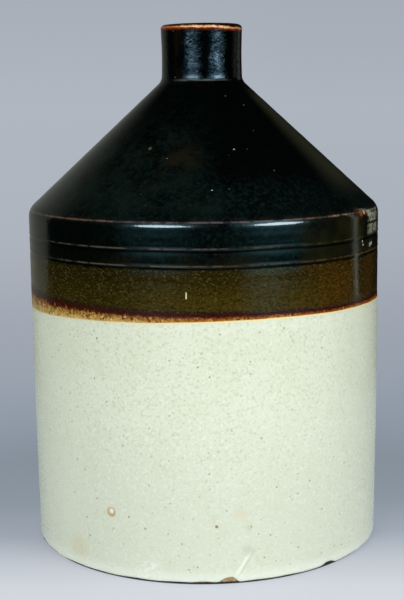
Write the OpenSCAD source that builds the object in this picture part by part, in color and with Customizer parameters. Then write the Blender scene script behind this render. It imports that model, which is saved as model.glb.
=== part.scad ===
// Stoneware shoulder jug: a turned clay jug with a cone top, a collar and a strap handle, under fired glazes.
// Millimetres, +Z up. The origin is the centre of the underside. The front of the jug faces -Y.

/* [Body] */
// Diameter over the glaze at the fullest part of the white wall
wall_d = 178; // [140:1:240]
// How far the wall draws in at the foot
foot_in = 0.6; // [0:0.1:3]
// How far the dark band under the shoulder stands out past the white wall
band_out = 0.1; // [0:0.1:2]
// Height of the fullest part of the white wall
belly_z = 65; // [40:1:90]
// Height of the wall below the band, from the floor it stands on
wall_h = 131; // [100:1:200]
// Height of the band, up to where it and the cone would meet without rounding
band_h = 38.5; // [30:0.5:60]
// Rounding of the outside of the shoulder
shoulder_round = 8; // [3:0.5:12]
// Thickness of the clay wall
clay_t = 6.6; // [5:0.1:9]
// Thickness of the clay floor
floor_t = 8; // [6:0.5:14]
// Rounding inside, where the wall meets the floor
floor_round = 10; // [4:0.5:20]
// Rounding inside the shoulder
inside_round = 9; // [4:0.5:16]
// Height of the unglazed edge at the foot
bare_h = 2; // [1:0.1:5]
// Bevel at the bottom edge of the foot
foot_bevel = 1; // [0.4:0.1:2]

/* [Turned ridges] */
// How far the lower ridge round the band lies below the shoulder
ridge_drop = 19.5; // [15:0.5:25]
// Distance between the two ridges
ridge_pitch = 7.8; // [6:0.1:9]
// How far a ridge stands out
ridge_h = 0.3; // [0.1:0.05:0.8]
// Width of a ridge
ridge_w = 2.4; // [1:0.1:3]

/* [Clay joint] */
// How far the joint between the lower body and the cone top lies above the lower ridge
joint_rise = 4; // [3:0.1:5]
// Thickness of the slip in that joint
slip_t = 1.2; // [0.6:0.1:2]

/* [Neck] */
// Height of the cone, from the shoulder to the neck
cone_h = 63.2; // [45:0.1:90]
// Diameter over the glaze at the foot of the neck
neck_d = 40.9; // [36:0.1:46]
// How far the neck draws in at its middle
waist_in = 0.35; // [0:0.05:1]
// How far the lip stands out past the foot of the neck
lip_out = 0.15; // [0:0.05:1.5]
// Height of the neck, lip included
neck_h = 27.6; // [22:0.1:40]
// Rounding of the outer edge of the lip
lip_round = 2.2; // [1:0.1:3.5]
// Rounding of the inner edge of the lip
mouth_round = 1.4; // [0.6:0.1:2.5]
// Diameter of the bore in the neck, which takes a cork
bore_d = 26; // [20:0.5:29]

/* [Glaze] */
// Thickness of the outer glazes
glaze_t = 0.5; // [0.3:0.05:0.9]
// Thickness of the glaze inside
liner_t = 0.4; // [0.2:0.05:0.8]
// Thickness of the glaze on the handle
handle_glaze_t = 0.4; // [0.2:0.05:0.6]
// How far the top of the white glaze lies below the band, on the axis
white_drop = 10; // [8:0.5:16]
// How much the top of the white glaze rises towards the front, in degrees
white_front_tilt = 2; // [-3:0.1:3]
// How much the top of the white glaze rises towards +X, in degrees
white_side_tilt = 0.9; // [-1:0.1:1]
// How far the bottom of the dark glaze lies below the band, on the axis
dark_drop = 1.6; // [0:0.1:2]
// How much the bottom of the dark glaze rises towards the front, in degrees
dark_front_tilt = -0.6; // [-1:0.1:0]
// How much the bottom of the dark glaze rises towards +X, in degrees
dark_side_tilt = -1.2; // [-1.5:0.1:0]

/* [Handle] */
// How far the strap's edges stay in from the sides of the neck
strap_inset = 6.95; // [5:0.05:10]
// Thickness of the strap
strap_t = 8.5; // [6:0.1:9.5]
// How far below the top of the jug the middle of the strap meets the neck
handle_drop = 9.7; // [9:0.1:12]
// How far the middle of the handle's round lies out from the neck
bend_out = 10.55; // [9:0.05:14]
// Radius of the handle's round, to the middle of the strap
bend_r = 24.5; // [22:0.1:25]
// How far the clay pads stand out round the strap at the neck and the cone
pad_spread = 3; // [2:0.1:4]
// How far the clay pads stand out round the strap where they end
pad_edge = 1.2; // [0.9:0.1:1.8]
// Height of the clay pads along the strap
pad_h = 5; // [3:0.1:7]

/* [Hidden] */
$fn = 96;

wall_r = wall_d / 2;
foot_r = wall_r - foot_in;
band_r = wall_r + band_out;
neck_r = neck_d / 2;
waist_r = neck_r - waist_in;
lip_r = neck_r + lip_out;
bore_r = bore_d / 2;
// Heights of the shoulder, of the foot of the neck and of the whole jug
shoulder_z = wall_h + band_h;
neck_z = shoulder_z + cone_h;
jug_h = neck_z + neck_h;
// Heights of the ridges and of the joint between them
ridge_low_z = shoulder_z - ridge_drop;
ridge_high_z = ridge_low_z + ridge_pitch;
joint_z = ridge_low_z + joint_rise;
// Heights on the axis where the white glaze ends and the dark glaze begins
white_top_z = wall_h - white_drop;
dark_foot_z = wall_h - dark_drop;
// Radius of the inside of the clay wall
cavity_r = wall_r - glaze_t - clay_t;
// Depth of the clay and its outer glaze, square to the surface
depth = glaze_t + clay_t;
// Slope of the cone, above the horizontal
slope = atan(cone_h / (band_r - neck_r));
// A length past every surface, for cuts
over = wall_d;

// Steps in which a round stretch and a ridge are drawn
ROUND_STEPS = 8;
RIDGE_STEPS = 6;

// The list from its end to its start
function reversed(list) = [for (i = [len(list) - 1:-1:0]) list[i]];

// Points of an arc about c, from angle a to angle b
function arc(c, r, a, b) = [for (i = [0:ROUND_STEPS]) let (t = a + (b - a) * i / ROUND_STEPS)
    [c[0] + r * cos(t), c[1] + r * sin(t)]];

// Points of a ridge round the band, from its foot to its top
function ridge(z, e) = [for (i = [0:RIDGE_STEPS]) let (t = i / RIDGE_STEPS)
    [band_r - e + ridge_h * pow(sin(180 * t), 2), z - ridge_w / 2 + ridge_w * t]];

// Height of the cone's surface, sunk by e square to itself, at radius r
function cone_z(r, e) = neck_z - (r - neck_r) * tan(slope) - e / cos(slope);

// Rounding between an upright wall of radius r and the cone sunk by e
function shoulder_arc(r, e, radius) =
    let (leg = radius * tan((90 - slope) / 2))
    arc([r - radius, cone_z(r, e) - leg], radius, 0, 90 - slope);

// Height at which the clay of the cone ends and the clay of the neck begins
seat_z = cone_z(neck_r - glaze_t, glaze_t);
waist_z = neck_z + neck_h / 2;

// Outline of the outside, sunk by e, from the bare foot up over the lip and into the mouth
function outside(e) = concat(
    [[foot_r - e, bare_h], [wall_r - e, belly_z], [band_r - e, wall_h]],
    ridge(ridge_low_z, e),
    ridge(ridge_high_z, e),
    shoulder_arc(band_r - e, e, shoulder_round - e),
    [[neck_r - e, cone_z(neck_r - e, e)], [waist_r - e, waist_z]],
    arc([lip_r - lip_round, jug_h - lip_round], lip_round - e, 0, 90),
    arc([bore_r + mouth_round, jug_h - mouth_round], mouth_round - e, 90, 180)
);

// Lower edge of the lip's glaze, in the mouth, where the bare bore begins
mouth_edge = [bore_r, jug_h - mouth_round - glaze_t];

// Outline of the inside, raised by e, from the bore down to the middle of the floor
function inside(e) = concat(
    [[bore_r, cone_z(bore_r, depth + e)]],
    reversed(shoulder_arc(cavity_r - e, depth + e, inside_round - e)),
    reversed(arc([cavity_r - floor_round, floor_t + floor_round], floor_round - e, -90, 0)),
    [[0, floor_t + e]]
);

// Everything between two heights
module slab(low, high) {
    translate([-over, -over, low]) cube([2 * over, 2 * over, high - low]);
}

// Everything above a plane that crosses the axis at z and rises towards the front and towards +X
module above(z, front_tilt, side_tilt) {
    translate([0, 0, z]) rotate([-front_tilt, -side_tilt, 0]) translate([-over, -over, 0]) cube(2 * over);
}

module clay() {
    rotate_extrude() polygon(concat(
        [[0, 0], [foot_r - glaze_t - foot_bevel, 0], [foot_r - glaze_t, foot_bevel]],
        outside(glaze_t),
        [mouth_edge],
        inside(0)
    ));
}

module outer_glaze() {
    rotate_extrude() polygon(concat(outside(0), [mouth_edge], reversed(outside(glaze_t))));
}

module liner() {
    rotate_extrude() polygon(concat(inside(0), reversed(inside(liner_t))));
}

// The jug as one lump, without its hollow, sunk by e
module lump(e) {
    rotate_extrude() polygon(concat([[0, bare_h]], outside(e), [[0, jug_h - mouth_round]]));
}

// Width of the strap
strap_w = neck_d - 2 * strap_inset;
// Place of the middle of the handle's round
bend_y = neck_r + bend_out;
bend_z = jug_h - handle_drop - sqrt(pow(bend_r, 2) - pow(bend_out, 2));
// Direction of the strap's middle from the middle of the round, at the neck and at the cone
neck_turn = 180 - acos(bend_out / bend_r);
cone_turn = 90 - slope - acos((cone_z(bend_y, 0) - bend_z) * cos(slope) / bend_r);
// How far the strap runs on inside the neck and the cone, before it is cut to them
sunk_turn = 35;

// Section of the strap, grown by e: x is the thickness and y the width
module strap_section(e) {
    reach = (strap_w - strap_t) / 2;
    square([strap_t + 2 * e, 2 * reach], center = true);
    for (side = [-1, 1]) translate([0, side * reach]) circle(strap_t / 2 + e);
}

// Turns its children from the XY plane to the YZ plane, about the middle of the handle's round
module upright() {
    translate([0, bend_y, bend_z]) rotate([90, 0, 90]) children();
}

// Carries its children, a section, along the handle's round and on into the neck and the cone
module along_handle() {
    upright() rotate([0, 0, cone_turn - sunk_turn])
        rotate_extrude(angle = neck_turn - cone_turn + 2 * sunk_turn) translate([bend_r, 0]) children();
}

// The strap, grown by e
module strap(e) {
    along_handle() strap_section(e);
}

// A pad of clay round the strap at a turn, narrowing along it: way is 1 towards the neck, -1 towards the cone
module pad(turn, way, deep) {
    reach = (strap_w - strap_t) / 2;
    wide = strap_t / 2 + handle_glaze_t + pad_spread;
    slim = strap_t / 2 + handle_glaze_t + pad_edge;
    upright() rotate([0, 0, turn]) translate([bend_r, 0, 0]) rotate([-90 * way, 0, 0]) {
        for (side = [-1, 1]) translate([0, side * reach, 0]) {
            cylinder(pad_h, wide, slim);
            translate([0, 0, -deep]) cylinder(deep, r = wide);
        }
        rotate([90, 0, 0]) linear_extrude(2 * reach, center = true)
            polygon([[-wide, -deep], [wide, -deep], [wide, 0], [slim, pad_h], [-slim, pad_h], [-wide, 0]]);
    }
}

module jug_body() color("burlywood") intersection() {
    clay();
    slab(0, joint_z - slip_t / 2);
}

module seam_slip() color("tan") intersection() {
    clay();
    slab(joint_z - slip_t / 2, joint_z + slip_t / 2);
}

module shoulder_cone() color("burlywood") intersection() {
    clay();
    slab(joint_z + slip_t / 2, seat_z);
}

module neck_collar() color("burlywood") intersection() {
    clay();
    slab(seat_z, jug_h);
}

module strap_handle() color("burlywood") difference() {
    strap(0);
    lump(glaze_t);
}

module handle_top_pad() color([0.07, 0.06, 0.05]) difference() {
    pad(neck_turn, -1, neck_r);
    lump(0);
    strap(handle_glaze_t);
}

module handle_foot_pad() color([0.07, 0.06, 0.05]) difference() {
    pad(cone_turn, 1, pad_h);
    lump(0);
    strap(handle_glaze_t);
}

module white_glaze() color([0.88, 0.89, 0.82]) difference() {
    outer_glaze();
    above(white_top_z, white_front_tilt, white_side_tilt);
}

module glaze_line() color([0.48, 0.33, 0.1]) difference() {
    intersection() {
        outer_glaze();
        above(white_top_z, white_front_tilt, white_side_tilt);
    }
    above(dark_foot_z, dark_front_tilt, dark_side_tilt);
}

module shoulder_glaze() color([0.06, 0.07, 0.05]) difference() {
    intersection() {
        outer_glaze();
        above(dark_foot_z, dark_front_tilt, dark_side_tilt);
    }
    slab(seat_z, jug_h + over);
    strap(0);
}

module neck_glaze() color([0.05, 0.06, 0.06]) difference() {
    intersection() {
        outer_glaze();
        slab(seat_z, jug_h);
    }
    strap(0);
}

module handle_glaze() color([0.06, 0.06, 0.05]) difference() {
    along_handle() difference() {
        strap_section(handle_glaze_t);
        strap_section(0);
    }
    lump(0);
}

module body_liner() color([0.2, 0.13, 0.07]) intersection() {
    liner();
    slab(0, joint_z);
}

module cone_liner() color([0.2, 0.13, 0.07]) intersection() {
    liner();
    slab(joint_z, jug_h);
}

jug_body();
seam_slip();
shoulder_cone();
neck_collar();
strap_handle();
handle_top_pad();
handle_foot_pad();
white_glaze();
glaze_line();
shoulder_glaze();
neck_glaze();
handle_glaze();
body_liner();
cone_liner();
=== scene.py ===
import math

import bpy
import numpy as np
from mathutils import Matrix, Vector
from mathutils.bvhtree import BVHTree


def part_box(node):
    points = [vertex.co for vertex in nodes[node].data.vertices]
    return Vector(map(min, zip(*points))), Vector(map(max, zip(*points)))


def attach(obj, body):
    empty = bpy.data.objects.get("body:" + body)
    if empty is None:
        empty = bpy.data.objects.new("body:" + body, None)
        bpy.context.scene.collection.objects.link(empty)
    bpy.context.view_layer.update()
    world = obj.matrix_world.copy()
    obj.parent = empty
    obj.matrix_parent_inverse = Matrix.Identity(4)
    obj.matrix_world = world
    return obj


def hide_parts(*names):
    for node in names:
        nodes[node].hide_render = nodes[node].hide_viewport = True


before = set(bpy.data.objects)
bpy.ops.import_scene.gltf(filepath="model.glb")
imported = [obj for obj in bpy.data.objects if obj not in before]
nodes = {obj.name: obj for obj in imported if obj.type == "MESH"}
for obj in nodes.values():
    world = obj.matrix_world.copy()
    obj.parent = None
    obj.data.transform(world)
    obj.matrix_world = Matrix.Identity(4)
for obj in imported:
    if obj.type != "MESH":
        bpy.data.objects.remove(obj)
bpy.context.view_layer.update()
MM = 0.001

# Sizes of the CAD part, in millimetres
GLAZE = 0.5
HANDLE_GLAZE = 0.4
BARE_H = 2.0
WALL_R = 89.0
WALL_H = 131.0
BAND_H = 38.5
SHOULDER_ROUND = 8.0
RIDGE_DROP = 19.5
RIDGE_PITCH = 7.8
NECK_R = 20.45
LIP_ROUND = 2.2
MOUTH_ROUND = 1.4
BORE_R = 13.0
TOP_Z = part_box("neck_glaze")[1].z / MM
STRAP_W = 27.0
STRAP_T = 8.5
BEND_OUT = 10.55
BEND_R = 24.5
HANDLE_DROP = 9.7
WHITE_DROP = 10.0
DARK_DROP = 1.6
SHOULDER_Z = WALL_H + BAND_H
RIDGE_LOW_Z = SHOULDER_Z - RIDGE_DROP
RIDGE_HIGH_Z = RIDGE_LOW_Z + RIDGE_PITCH
BEND_Y = NECK_R + BEND_OUT
BEND_Z = TOP_Z - HANDLE_DROP - math.sqrt(BEND_R ** 2 - BEND_OUT ** 2)
# Turn of the outline at the shoulder, from upright to the cone, in degrees
SHOULDER_TURN = 47.4
# Glaze edges: height on the axis, and how far they rise to the front and to +X, in degrees
WHITE_EDGE = (WALL_H - WHITE_DROP, 2, 0.9)
DARK_EDGE = (WALL_H - DARK_DROP, -0.6, -1.2)

# Marks that are shaped as well as coloured: turn from the front in degrees, and height in millimetres
POCK_TURN = -30.6
POCK_Z = 32.1
SHADED_NOTCH_TURN = 41.7
# Chips in the foot: turn, half width in degrees, and height
CHIPS = ((7.1, 1.9, 2.5), (4.7, 1.0, 1.0), (SHADED_NOTCH_TURN, 2.4, 1.3), (-1.6, 2.2, 0.35),
         (-118, 2.0, 1.6), (154, 3.0, 1.2), (97, 1.2, 0.8), (-71, 1.1, 0.5))
# Radius of the finished wall, where its marks lie
FACE_R = 88.6
# Height of the shoulder's worn edge
RIM_Z = 169.6


# The outline of the CAD part

def outer_surface():
    """Search tree over the CAD glazes."""
    verts, polys = [], []
    for name in ("white_glaze", "glaze_line", "shoulder_glaze", "neck_glaze"):
        mesh = nodes[name].data
        first = len(verts)
        verts += [v.co.copy() for v in mesh.vertices]
        polys += [[first + i for i in p.vertices] for p in mesh.polygons]
    return BVHTree.FromPolygons(verts, polys)


def read_outline():
    """Height and radius of the outside, read from the CAD glazes with level rays at +X."""
    tree = outer_surface()
    heights, radii = [], []
    for z in np.arange(BARE_H + 0.05, TOP_Z - LIP_ROUND, 0.1):
        hit = tree.ray_cast(Vector((0.2, 1e-7, z * MM)), Vector((-1, 0, 0)))[0]
        if hit is not None:
            heights.append(z)
            radii.append(math.hypot(hit.x, hit.y) / MM)
    return np.array(heights), np.array(radii)


LINE_Z, LINE_R = read_outline()
# The foot of the neck is where the outline bends up most sharply
NECK_Z = float(LINE_Z[np.argmax(np.diff(LINE_R, 2)) + 1])
FILLET_Z = NECK_Z - 1.6
LIP_R = float(LINE_R[-1])


def radius(z):
    """Radius of the outline at a height."""
    return np.interp(z, LINE_Z, LINE_R)


def slope_at(z, reach=0.3):
    """Outward normal of the outline in its plane, as (radial, upward)."""
    dr = radius(z + reach) - radius(z - reach)
    length = np.hypot(dr, 2 * reach)
    return 2 * reach / length, -dr / length


def tangent(angle):
    """Tangent of an angle in degrees."""
    return math.tan(math.radians(angle))


def edge_height(edge, t):
    """Height of a glaze edge on the wall, at turn t from the front."""
    height, front_tilt, side_tilt = edge
    return height + WALL_R * np.cos(t) * tangent(front_tilt) + WALL_R * np.sin(t) * tangent(side_tilt)


# The thrown and glazed surface, in millimetres along the outline's normal

def waves(t, seed, counts, size):
    """A smooth wandering round the jug: waves of whole counts, each with a fixed phase."""
    rng = np.random.default_rng(seed)
    total = 0
    for count in counts:
        total = total + rng.uniform(0.5, 1) * np.cos(count * t + rng.uniform(0, 6.28))
    return size * total / math.sqrt(len(counts))


def step(v, low, high):
    """A smooth rise from 0 at low to 1 at high."""
    s = np.clip((v - low) / (high - low), 0, 1)
    return s * s * (3 - 2 * s)


def hump(v, middle, width):
    """1 at the middle, falling smoothly to both sides."""
    return np.exp(-((v - middle) / width) ** 2)


def degrees(t):
    """Turn from the front in degrees, from -180 to 180."""
    return np.degrees((t + np.pi) % (2 * np.pi) - np.pi)


def relief(t, z):
    """How far the glazed surface stands out from the CAD outline, at turn t and height z."""
    deg = degrees(t)
    # out of round; the white wall stands a little to the right of the band
    d = -0.16 + 0.07 * np.cos(2 * (t - 0.7)) + 0.03 * np.cos(3 * (t + 1.1))
    d = d + waves(t + 0.004 * z, 3, (1, 2, 4, 7), 0.02)
    d = d + 0.2 * np.sin(t) * (1 - step(z, WALL_H - 13, WALL_H - 3))
    # throwing rings, faint on the wall and clearer on the cone
    rings = 0.016 + 0.02 * step(z, WALL_H - 3, WALL_H + 9)
    d = d + rings * np.sin(z * 1.05 + waves(t, 5, (1, 2), 0.8)) * np.sin(z * 0.31 + 1)
    # the glaze softens the two ridges and runs thin under them; a third, faint ridge lies below
    wander = waves(t, 8, (1, 2, 3), 0.12)
    uneven = 1 + waves(t, 9, (2, 3, 5, 9, 14), 0.4)
    for middle in (RIDGE_HIGH_Z, RIDGE_LOW_Z):
        d = d - 0.2 * hump(z, middle, 1.1)
        d = d - 0.07 * uneven * hump(z + wander, middle - 1.6, 0.8)
    d = d + 0.015 * uneven * hump(z + wander, RIDGE_LOW_Z - 4.6, 1.1)
    # the thick rolled edge of the dark glaze over the white
    top = edge_height(WHITE_EDGE, t)
    d = d + 0.1 * hump(z, top + 1.2, 1.1) - 0.1 * hump(z, top - 1.4, 0.9)
    # a fold in the white glaze that leans to the right as it runs up from the chipped foot
    lean = 5.6 * np.clip((z - 5) / 14, 0, 1)
    fold = step(z, 3, 6) * (1 - step(z, 14, 19))
    d = d + fold * (0.5 * hump(deg, 9.4 + lean, 0.45) - 0.4 * hump(deg, 10.7 + lean, 0.6))
    # the pock, with a raised ring
    away = np.hypot(np.radians(deg - POCK_TURN) * FACE_R, z - POCK_Z)
    return d - 0.35 * hump(away, 0, 1.0) + 0.12 * hump(away, 1.6, 0.5)


def foot_edge(t):
    """Height of the lower edge of the white glaze, with its chips."""
    deg = degrees(t)
    edge = 1.25 + waves(t, 12, (3, 5, 11, 17, 29), 0.2)
    for at, wide, high in CHIPS:
        edge = edge + high * np.exp(-(np.abs(deg - at) / wide) ** 3)
    return edge


# Meshes

# Turns from the front, closer together at the fold and at the chips beside it
TURN = np.radians(np.unique(np.round(np.concatenate([
    np.arange(0, 360, 0.9), np.arange(3, 18, 0.15), np.arange(38, 46, 0.3)]), 2)))
COLS = len(TURN)


def spun(t, r, z):
    """Points at turn t from the front, radius r and height z, in metres."""
    return np.stack([r * np.sin(t), -r * np.cos(t), z + 0 * r], -1) * MM


def closed_mesh(name, loops, sharp):
    """A mesh over loops (rows, columns, 3) that close on each other both ways, crisp along the sharp rows."""
    rows, cols = loops.shape[:2]
    index = np.arange(rows * cols).reshape(rows, cols)
    right = np.roll(index, -1, 1)
    above, above_right = np.roll(index, -1, 0), np.roll(right, -1, 0)
    quads = np.stack([index, right, above_right, above], -1).reshape(-1, 4)
    mesh = bpy.data.meshes.new(name)
    mesh.from_pydata(loops.reshape(-1, 3).tolist(), [], quads.tolist())
    mesh.polygons.foreach_set("use_smooth", np.ones(len(quads), bool))
    row = np.full(rows * cols, -1)
    for k in sharp:
        row[index[k]] = k
    ends = np.zeros(len(mesh.edges) * 2, np.int32)
    mesh.edges.foreach_get("vertices", ends)
    ends = row[ends.reshape(-1, 2)]
    flags = (ends[:, 0] >= 0) & (ends[:, 0] == ends[:, 1])
    mesh.attributes.new("sharp_edge", "BOOLEAN", "EDGE").data.foreach_set("value", flags)
    mesh.update()
    piece = bpy.data.objects.new(name, mesh)
    bpy.context.scene.collection.objects.link(piece)
    return piece


def shell(name, outer, inner):
    """A glaze coat between its outer and its inner rows, sharp along its two rims."""
    loops = np.concatenate([outer, inner[::-1]])
    return closed_mesh(name, loops, (0, len(outer) - 1, len(outer), len(loops) - 1))


def bend(start, corner, end, share):
    """A rounded corner, at a share of the way from start to end."""
    return (1 - share) ** 2 * start + 2 * share * (1 - share) * corner + share ** 2 * end


# The glazes of the body

def skin(name, heights, bottom_edge=0.0):
    """A glaze coat: outer relief over the heights (rows, columns), and its inner face on the clay."""
    t = np.broadcast_to(TURN, heights.shape)
    nr, nz = slope_at(heights)
    r = radius(np.maximum(heights, LINE_Z[0]))
    d = relief(t, heights)
    if bottom_edge:
        round_h = 0.9
        low = (heights - heights[0]) / round_h
        d = d - bottom_edge * (1 - np.clip(low, 0, 1)) ** 2
    outer = spun(t, r + d * nr, heights + d * nz)
    pick = sorted({0, len(heights) - 1, *range(0, len(heights), 6)})
    inner = spun(t[pick], r[pick] - GLAZE * nr[pick], heights[pick] - GLAZE * nz[pick])
    return shell(name, outer, inner)


def spread_rows(low, high, count):
    """Rows from low to high, each a number or one value per column; the last one is left out."""
    share = np.linspace(0, 1, count, endpoint=False)[:, None]
    low, high = np.broadcast_to(low, COLS), np.broadcast_to(high, COLS)
    return low + (high - low) * share


def flat_rows(heights):
    """Level rows, one at each height."""
    return np.repeat(np.asarray(heights, float)[:, None], COLS, 1)


def white_rows():
    """Rows of the white: they follow its two edges, and are level in between."""
    edge, top = foot_edge(TURN), edge_height(WHITE_EDGE, TURN)
    level_from, level_to = 36, 112
    return np.concatenate([
        edge + np.array([0, 0.12, 0.3, 0.55, 0.85, 1.3, 2.0])[:, None],
        spread_rows(edge + 2.8, level_from, 30), flat_rows(np.arange(level_from, level_to, 2.0)),
        spread_rows(level_to, top, 12), top[None],
    ])


def line_rows():
    """Rows of the coloured edge, between the white and the dark."""
    foot = edge_height(DARK_EDGE, TURN)
    return np.concatenate([spread_rows(edge_height(WHITE_EDGE, TURN), foot, 10), foot[None]])


def shoulder_rows():
    """Rows of the dark: close together on the band and round the shoulder, wider on the cone."""
    level_from = WALL_H + 10
    half = math.radians(SHOULDER_TURN / 2)
    arc_low = SHOULDER_Z - SHOULDER_ROUND * math.tan(half) - 0.2
    cone_foot = arc_low + SHOULDER_ROUND * math.sin(2 * half) + 0.4
    return np.concatenate([
        spread_rows(edge_height(DARK_EDGE, TURN), level_from, 14),
        flat_rows(np.arange(level_from, arc_low, 0.4)),
        flat_rows(np.linspace(arc_low, cone_foot, 22, endpoint=False)),
        flat_rows(np.arange(cone_foot, FILLET_Z - 0.8, 1.3)), flat_rows([FILLET_Z]),
    ])


white_skin = skin("white_glaze_skin", white_rows(), bottom_edge=0.3)
line_skin = skin("glaze_line_skin", line_rows())
shoulder_skin = skin("shoulder_glaze_skin", shoulder_rows())


# The glaze of the neck

def quarter(middle_r, size, start, count):
    """A quarter round at the top of the jug, from a start in degrees, as points of radius and height."""
    a = np.radians(np.linspace(start, start + 90, count))[:, None]
    return np.hstack([middle_r + size * np.cos(a), TOP_Z - size + size * np.sin(a)])


def neck_profile():
    """Outline of the neck's glaze, from the cone up over the lip into the mouth."""
    knee_z = NECK_Z + 2.6
    wall_top = TOP_Z - LIP_ROUND - 0.3
    corner = (float(radius(NECK_Z + 0.1)), NECK_Z)
    share = np.linspace(0, 1, 9)[:, None]
    fillet = bend((float(radius(FILLET_Z)), FILLET_Z), corner, (float(radius(knee_z)), knee_z), share)
    # the wall takes the mean of the outline over 6 mm to both sides, which rounds its waist
    z = np.arange(knee_z + 0.9, wall_top, 0.9)
    near = np.clip(z[:, None] + np.arange(-6, 7), knee_z, wall_top)
    wall = np.stack([radius(near).mean(1), z], -1)
    lip = quarter(LIP_R - LIP_ROUND, LIP_ROUND, 0, 10)
    mouth = quarter(BORE_R + MOUTH_ROUND, MOUTH_ROUND, 90, 8)
    return np.concatenate([fillet, wall, lip, mouth, [[BORE_R, TOP_Z - MOUTH_ROUND - GLAZE]]])


def neck_skin():
    """The glaze of the neck: outer relief along its profile, and its inner face on the clay."""
    line = neck_profile()
    run = np.gradient(line, axis=0)
    normal = np.stack([run[:, 1], -run[:, 0]], -1) / np.hypot(*run.T)[:, None]
    t = np.broadcast_to(TURN, (len(line), COLS))
    z = np.broadcast_to(line[:, 1:], t.shape)
    # the neck has a relief of its own, which takes over from the cone's
    own = -0.1 + 0.05 * np.cos(2 * t - 1) + waves(t + 0.02 * z, 21, (2, 3, 5, 8), 0.03)
    own = own + 0.007 * np.sin(z * 1.3 + waves(t, 22, (1, 2), 0.7))
    over = step(z, NECK_Z - 2, NECK_Z + 4)
    d = relief(t, z) * (1 - over) + over * own
    d = np.where(line[:, :1] < LIP_R - LIP_ROUND, -0.02, d)
    d[-1] = 0
    outer = spun(t, line[:, :1] + d * normal[:, :1], z + d * normal[:, 1:])
    keep = list(range(0, len(line) - 1, 4)) + [len(line) - 2]
    deep = line[keep] - GLAZE * normal[keep]
    deep[-1] = (BORE_R + GLAZE, TOP_Z - MOUTH_ROUND - GLAZE)
    t = t[keep]
    inner = spun(t, np.broadcast_to(deep[:, :1], t.shape), np.broadcast_to(deep[:, 1:], t.shape))
    return shell("neck_glaze_skin", outer, inner)


neck = neck_skin()


# The handle: its glaze, and the clay worked in round its ends

def strap_outline(grow, count=64):
    """Points of the strap's section: s across its thickness and w along its width, with their normals."""
    half, rad = (STRAP_W - STRAP_T) / 2, STRAP_T / 2 + grow
    part = count // 4
    face = np.linspace(-1, 1, part + 2)[1:-1]
    edge = np.linspace(0, np.pi, part)
    a = np.concatenate([np.zeros(part), edge, np.full(part, np.pi), np.pi + edge])
    across = np.concatenate([face, np.ones(part), -face, -np.ones(part)])
    around = np.stack([np.cos(a), np.sin(a)], -1)
    return np.stack([rad * np.cos(a), half * across + rad * np.sin(a)], -1), around


def on_strap(turn, s, w):
    """A point of the strap: turn in radians about the middle of its round, s and w in its section."""
    reach = BEND_R + s
    return np.stack([w + 0 * reach, BEND_Y + reach * np.cos(turn), BEND_Z + reach * np.sin(turn)], -1)


def outside(p):
    """How far a point stands out from the jug, level, in millimetres."""
    return np.hypot(p[..., 0], p[..., 1]) - radius(p[..., 2])


def meet(way, s, w):
    """Turn at which the strap's line at (s, w) meets the jug: way is 1 at the neck and -1 at the cone."""
    clear_turn, inside_turn = 40, 150 if way > 0 else -88
    clear = np.full(len(s), math.radians(clear_turn))
    hidden = np.full(len(s), math.radians(inside_turn))
    for _ in range(40):
        middle = (clear + hidden) / 2
        is_clear = outside(on_strap(middle, s, w)) > 0
        clear, hidden = np.where(is_clear, middle, clear), np.where(is_clear, hidden, middle)
    return (clear + hidden) / 2


def handle_skin():
    """The glaze of the strap, from the cone round to the neck."""
    section, around = strap_outline(0)
    s, w = section.T
    at_cone, at_neck = meet(-1, s, w), meet(1, s, w)
    # the strap's glaze runs on a little way into the jug
    sunk = 0.05
    turn = (at_cone - sunk) + (at_neck - at_cone + 2 * sunk) * np.linspace(0, 1, 90)[:, None]
    along = np.degrees(turn)
    grow = HANDLE_GLAZE - 0.06 + 0.05 * np.sin(along * 0.09 + 3 * w / STRAP_W)
    grow = grow + 0.04 * np.cos(along * 0.21 + w)
    # two pulled grooves run along the outside of the strap
    face = np.clip(around[:, 0], 0, 1)
    grow = grow - 0.16 * face * (hump(w, -6.2, 1.6) + hump(w, 6.2, 1.6))
    outer = on_strap(turn, s + grow * around[:, 0], w + grow * around[:, 1])
    few = np.concatenate([turn[::6], turn[-1:]])
    inner = on_strap(few, s + 0 * few, w + 0 * few)
    return shell("handle_glaze_skin", outer[:, ::-1] * MM, inner[:, ::-1] * MM)


def fillet_ring(name, way):
    """Clay smoothed in round an end of the strap: a concave ring on the strap and on the jug."""
    rise, spread, rows = 5.2, 3.2, 12
    section, around = strap_outline(HANDLE_GLAZE - 0.15, 96)
    s, w = section.T
    side = np.arctan2(w, s)
    corner_turn = meet(way, s, w)
    corner = on_strap(corner_turn, s, w)
    up = rise * (1 + 0.12 * np.cos(3 * side + way))
    strap_edge = on_strap(corner_turn - way * up / (BEND_R + s), s, w)
    flat, wide = around.T
    out = np.stack([wide, flat * np.cos(corner_turn), flat * np.sin(corner_turn)], -1)
    jug_edge = corner + out * spread * (1 + 0.15 * np.sin(2 * side + 1))[:, None]
    # its outer edge lies just under the jug's surface, and a last row closes it inside the clay
    from_axis = np.hypot(jug_edge[:, 0], jug_edge[:, 1])
    jug_edge[:, :2] *= ((radius(jug_edge[:, 2]) - 0.12) / from_axis)[:, None]
    inward = corner - out * 0.25
    from_axis = np.hypot(inward[:, 0], inward[:, 1])
    inward[:, :2] *= ((from_axis - 0.3) / from_axis)[:, None]
    ring = [bend(strap_edge, corner, jug_edge, k) for k in np.linspace(0, 1, rows)]
    loops = np.stack([*ring, inward]) * MM
    if way > 0:
        loops = loops[:, ::-1]
    return closed_mesh(name, loops, (0, rows - 1, rows))


handle = handle_skin()
top_fillet = fillet_ring("handle_top_fillet", 1)
foot_fillet = fillet_ring("handle_foot_fillet", -1)


# Materials

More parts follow.
